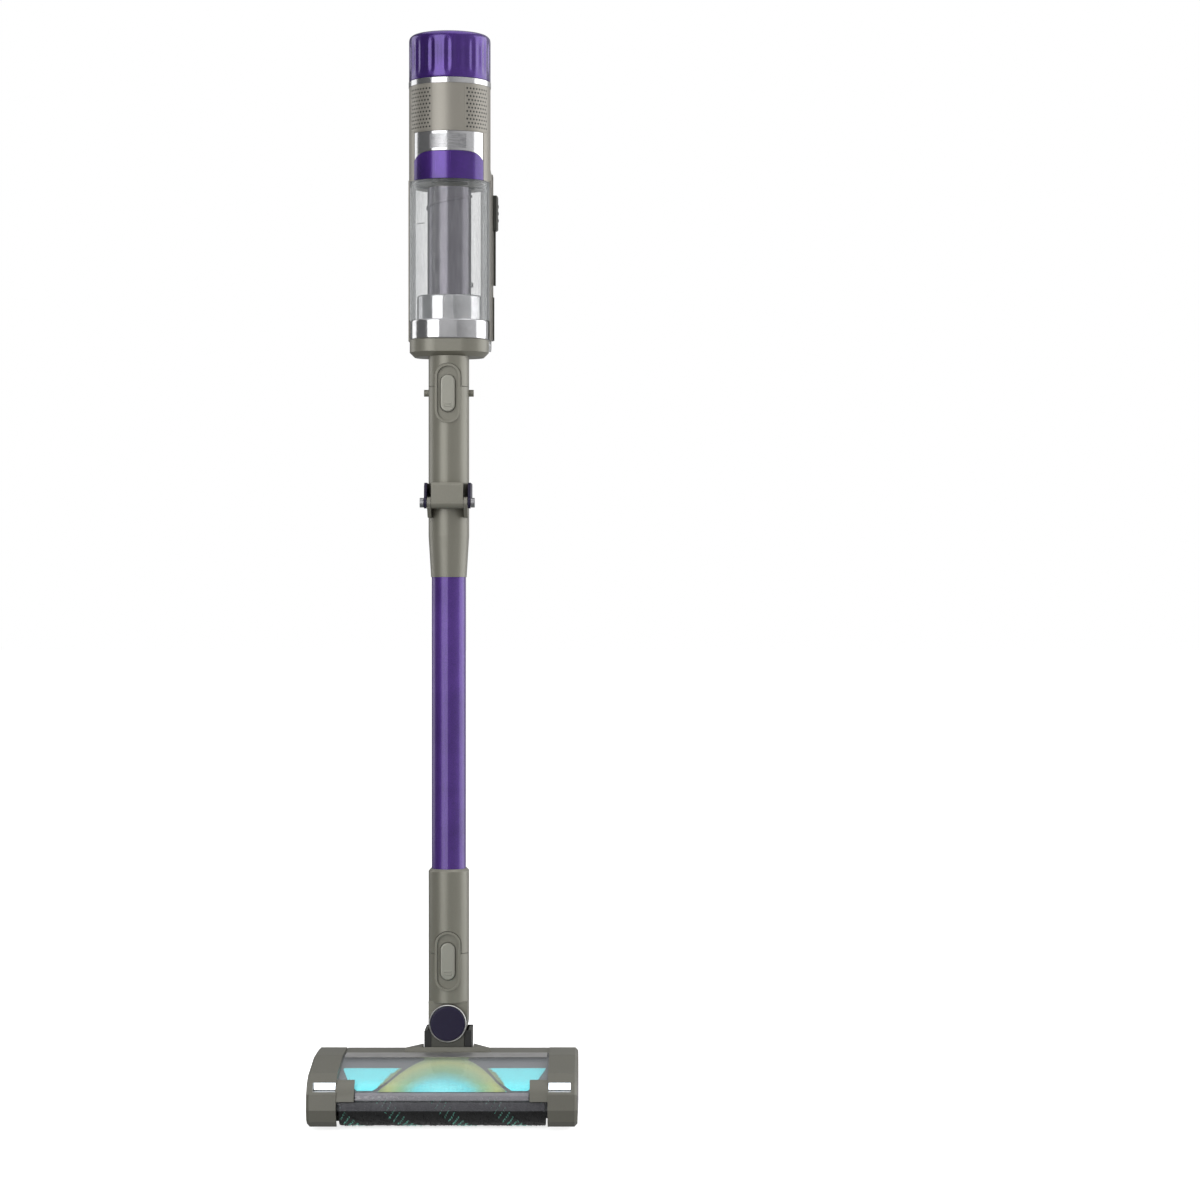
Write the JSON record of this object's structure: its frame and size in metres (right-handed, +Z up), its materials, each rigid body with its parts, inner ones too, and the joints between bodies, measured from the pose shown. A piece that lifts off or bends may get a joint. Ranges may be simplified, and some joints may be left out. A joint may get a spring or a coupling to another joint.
{
  "type": "cordless stick vacuum cleaner",
  "caption": "Upright cordless stick vacuum: lit brush nozzle, steering neck, folding wand, lift-off hand-held unit with clear dust cup.",
  "frame": {"origin": "on the floor under the middle of the bounding box", "axes": "+Z up, -Y the nozzle's front, +X the right side seen from the front"},
  "size_m": [0.272, 0.3775, 1.143],
  "materials": {
    "nozzle_window": "clear gloss",
    "nozzle_chassis": "moulded satin",
    "nozzle_top_cover": "fine satin",
    "side_housing_left": "fine satin",
    "side_housing_right": "fine satin",
    "brush_end_cap": "gloss",
    "corner_lamps": "lit lens",
    "light_guides": "lit diffuser",
    "brush_motor": "satin",
    "drive_belt": "matte",
    "glide_pads": "felt",
    "nozzle_screws": "satin",
    "wheel_axles": "satin",
    "brush_core": "moulded",
    "brush_pile": "nylon pile",
    "motor_pulley": "satin",
    "wheel_hub_left": "moulded",
    "wheel_tyre_left": "soft rubber",
    "wheel_hub_right": "moulded",
    "wheel_tyre_right": "soft rubber",
    "neck_yoke": "moulded satin",
    "yoke_guards": "moulded",
    "pivot_caps": "gloss",
    "ankle_shell": "fine satin",
    "neck_hose": "ribbed",
    "lower_release_button": "satin",
    "wand_lower_collar": "fine satin",
    "wand_tube": "metallic gloss",
    "wand_upper_collar": "fine satin",
    "fold_pin": "satin",
    "upper_wand_shell": "fine satin",
    "hinge_cuff": "gloss",
    "fold_hose": "ribbed",
    "upper_release_button": "satin",
    "fold_latch": "satin",
    "inlet_shell": "fine satin",
    "cup_floor_ring": "polished",
    "inlet_duct": "gloss",
    "dust_cup": "clear gloss",
    "mesh_shroud": "fine mesh",
    "motor_housing": "fine satin",
    "handle_root": "fine satin",
    "lower_band": "metallic gloss",
    "upper_band": "polished",
    "trim_ring": "polished",
    "suction_motor": "moulded",
    "battery_arm": "fine satin",
    "grip_arm": "moulded",
    "grip_sleeve": "soft touch",
    "handheld_pins": "satin",
    "handle_block": "fine satin",
    "cup_lid": "clear gloss",
    "empty_slider": "fine satin",
    "lid_catch": "fine satin",
    "suction_fan": "satin",
    "filter_cap": "metallic gloss",
    "exhaust_filter": "pleated paper",
    "battery": "fine satin",
    "trigger": "gloss",
    "mode_button": "gloss"
  },
  "bodies": {
    "nozzle": {"nozzle_window": "nozzle_window", "nozzle_chassis": "nozzle_chassis", "nozzle_top_cover": "nozzle_top_cover", "side_housing_left": "side_housing_left", "side_housing_right": "side_housing_right", "brush_end_cap": "brush_end_cap", "corner_lamps": "corner_lamps", "light_guides": "light_guides", "brush_motor": "brush_motor", "drive_belt": "drive_belt", "glide_pads": "glide_pads", "nozzle_screws": "nozzle_screws", "wheel_axles": "wheel_axles"},
    "brush": {"brush_core": "brush_core", "brush_pile": "brush_pile"},
    "motor_drive": {"motor_pulley": "motor_pulley"},
    "left_wheel": {"wheel_hub_left": "wheel_hub_left", "wheel_tyre_left": "wheel_tyre_left"},
    "right_wheel": {"wheel_hub_right": "wheel_hub_right", "wheel_tyre_right": "wheel_tyre_right"},
    "yoke": {"neck_yoke": "neck_yoke", "yoke_guards": "yoke_guards", "pivot_caps": "pivot_caps"},
    "ankle": {"ankle_shell": "ankle_shell", "neck_hose": "neck_hose"},
    "lower_button": {"lower_release_button": "lower_release_button"},
    "wand": {"wand_lower_collar": "wand_lower_collar", "wand_tube": "wand_tube", "wand_upper_collar": "wand_upper_collar", "fold_pin": "fold_pin"},
    "upper_wand": {"upper_wand_shell": "upper_wand_shell", "hinge_cuff": "hinge_cuff", "fold_hose": "fold_hose"},
    "upper_button": {"upper_release_button": "upper_release_button"},
    "latch": {"fold_latch": "fold_latch"},
    "handheld": {"inlet_shell": "inlet_shell", "cup_floor_ring": "cup_floor_ring", "inlet_duct": "inlet_duct", "dust_cup": "dust_cup", "mesh_shroud": "mesh_shroud", "motor_housing": "motor_housing", "handle_root": "handle_root", "lower_band": "lower_band", "upper_band": "upper_band", "trim_ring": "trim_ring", "suction_motor": "suction_motor", "battery_arm": "battery_arm", "grip_arm": "grip_arm", "grip_sleeve": "grip_sleeve", "handheld_pins": "handheld_pins", "handle_block": "handle_block"},
    "lid": {"cup_lid": "cup_lid"},
    "slider": {"empty_slider": "empty_slider"},
    "catch": {"lid_catch": "lid_catch"},
    "fan": {"suction_fan": "suction_fan"},
    "cap": {"filter_cap": "filter_cap", "exhaust_filter": "exhaust_filter"},
    "battery": {"battery": "battery"},
    "trigger": {"trigger": "trigger"},
    "mode_button": {"mode_button": "mode_button"}
  },
  "joints": [
    {"name": "brush_spin", "type": "hinge", "parent": "nozzle", "child": "brush", "pos_m": [0, -0.15725, 0.023], "axis": [1, 0, 0], "continuous": true},
    {"name": "motor_drive_spin", "type": "hinge", "parent": "nozzle", "child": "motor_drive", "pos_m": [-0.115, -0.09325, 0.028], "axis": [1, 0, 0], "continuous": true},
    {"name": "left_wheel_spin", "type": "hinge", "parent": "nozzle", "child": "left_wheel", "pos_m": [-0.076, 0.00875, 0.024], "axis": [1, 0, 0], "continuous": true},
    {"name": "right_wheel_spin", "type": "hinge", "parent": "nozzle", "child": "right_wheel", "pos_m": [0.076, 0.00875, 0.024], "axis": [1, 0, 0], "continuous": true},
    {"name": "recline", "type": "hinge", "parent": "nozzle", "child": "yoke", "pos_m": [0, -0.03325, 0.038], "axis": [-1, 0, 0], "range_deg": [0, 75]},
    {"name": "steer", "type": "hinge", "parent": "yoke", "child": "ankle", "pos_m": [0, -0.03325, 0.092], "axis": [0, 1, 0], "range_deg": [-40, 40], "deforming": ["neck_hose"]},
    {"name": "lower_button_press", "type": "slide", "parent": "ankle", "child": "lower_button", "axis": [0, 1, 0], "range_m": [0, 0.0022], "stiffness_N_per_m": 600, "springref_m": -0.0005},
    {"name": "wand_lift", "type": "slide", "parent": "ankle", "child": "wand", "axis": [0, 0, 1], "range_m": [0, 0.04]},
    {"name": "fold", "type": "hinge", "parent": "wand", "child": "upper_wand", "pos_m": [0, -0.06925, 0.634], "axis": [1, 0, 0], "range_deg": [0, 180], "deforming": ["fold_hose"]},
    {"name": "upper_button_press", "type": "slide", "parent": "upper_wand", "child": "upper_button", "axis": [0, 1, 0], "range_m": [0, 0.0022], "stiffness_N_per_m": 600, "springref_m": -0.0005},
    {"name": "fold_latch_tilt", "type": "hinge", "parent": "upper_wand", "child": "latch", "pos_m": [0, 0.00025, 0.694], "axis": [1, 0, 0], "range_deg": [0, 12], "stiffness_Nm_per_rad": 0.3},
    {"name": "handheld_lift", "type": "slide", "parent": "upper_wand", "child": "handheld", "axis": [0, 0, 1], "range_m": [0, 0.04]},
    {"name": "lid_open", "type": "hinge", "parent": "handheld", "child": "lid", "pos_m": [0, 0.00975, 0.799], "axis": [-1, 0, 0], "range_deg": [0, 80]},
    {"name": "empty_slider_push", "type": "slide", "parent": "handheld", "child": "slider", "axis": [0, 0, -1], "range_m": [0, 0.008]},
    {"name": "lid_catch_tilt", "type": "hinge", "parent": "handheld", "child": "catch", "pos_m": [0.0422, 0.04675, 0.853], "axis": [0, -1, 0], "range_deg": [0, 8]},
    {"name": "fan_spin", "type": "hinge", "parent": "handheld", "child": "fan", "pos_m": [0, -0.01325, 1.035], "axis": [0, 0, 1], "continuous": true},
    {"name": "cap_twist", "type": "hinge", "parent": "handheld", "child": "cap", "pos_m": [0, -0.01325, 1.1], "axis": [0, 0, 1], "range_deg": [0, 30]},
    {"name": "battery_slide", "type": "slide", "parent": "handheld", "child": "battery", "axis": [0, 0.9397, 0.342], "range_m": [0, 0.1]},
    {"name": "trigger_pull", "type": "hinge", "parent": "handheld", "child": "trigger", "pos_m": [0, 0.06375, 1.09802], "axis": [1, 0, 0], "range_deg": [0, 8], "stiffness_Nm_per_rad": 0.6, "springref_deg": -1.15},
    {"name": "mode_button_press", "type": "slide", "parent": "handheld", "child": "mode_button", "axis": [0, 0, -1], "range_m": [0, 0.0015], "stiffness_N_per_m": 400, "springref_m": -0.0005}
  ],
  "couplings": [
    {"joint": "motor_drive_spin", "follows": "brush_spin", "ratio": 2},
    {"joint": "lid_catch_tilt", "follows": "empty_slider_push", "rad_per_m": 17.453}
  ]
}
